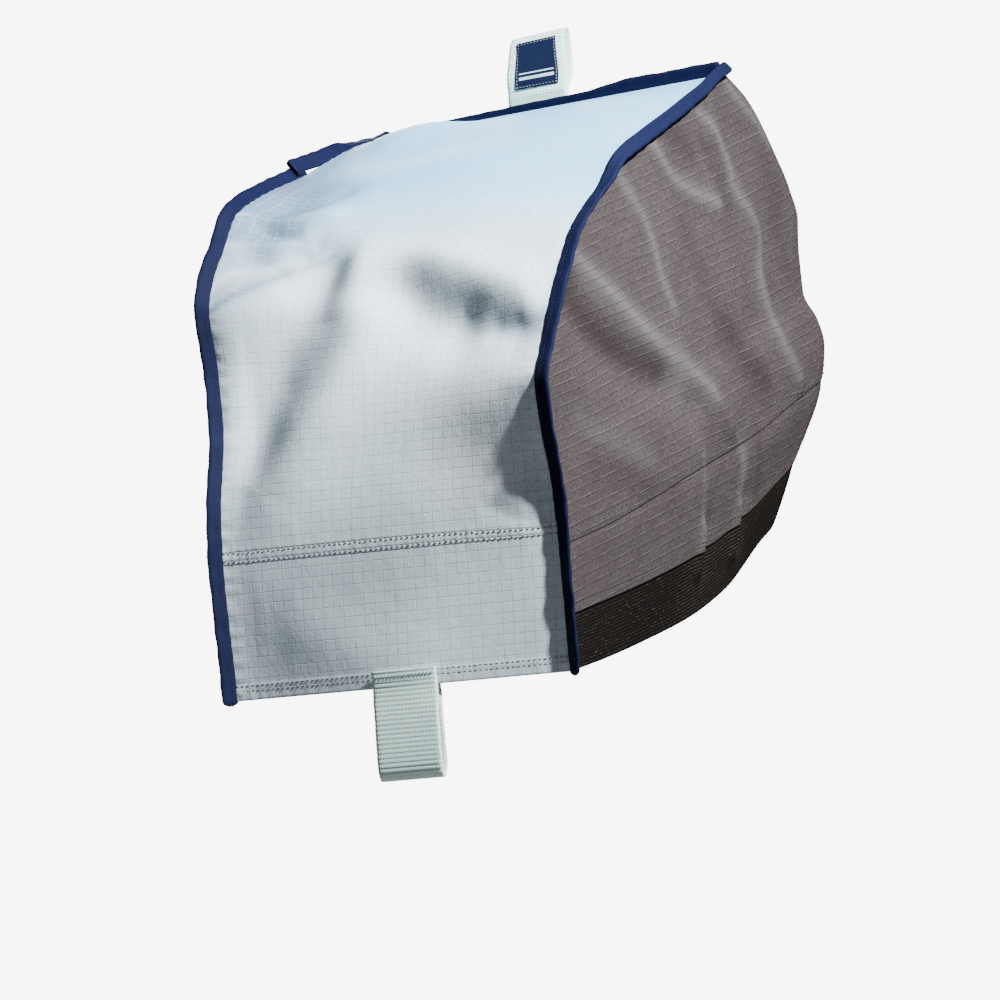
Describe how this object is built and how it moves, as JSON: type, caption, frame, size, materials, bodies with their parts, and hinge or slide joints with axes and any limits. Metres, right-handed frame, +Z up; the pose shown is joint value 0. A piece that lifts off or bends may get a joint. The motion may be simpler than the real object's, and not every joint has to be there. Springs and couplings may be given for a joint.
{
  "type": "outboard motor cover",
  "caption": "Fitted cloth cover for a small outboard motor, pale back and top strip, darker wrap, bound edges, ribbed elastic hem band and webbing pull loops",
  "frame": {"origin": "the point under the middle of the cover's top where the motor carries it", "axes": "+X is the width to the near side, +Y runs from the back to the front, +Z is up"},
  "size_m": [0.2738, 0.5128, 0.4924],
  "materials": {
    "pale_cloth": "pale grey ripstop cloth",
    "dark_cloth": "taupe ripstop cloth",
    "binding": "navy woven tape",
    "elastic": "black ribbed elastic",
    "webbing": "pale ribbed webbing",
    "label": "navy woven label"
  },
  "bodies": {
    "root": {"back_and_top": "pale_cloth", "back_skirt": "pale_cloth", "side_wrap": "dark_cloth", "side_skirt": "dark_cloth", "elastic_band": "elastic", "binding_near": "binding", "binding_far": "binding", "binding_front": "binding", "rear_loop": "webbing", "top_loop": "webbing", "loop_label": "label"}
  },
  "joints": []
}
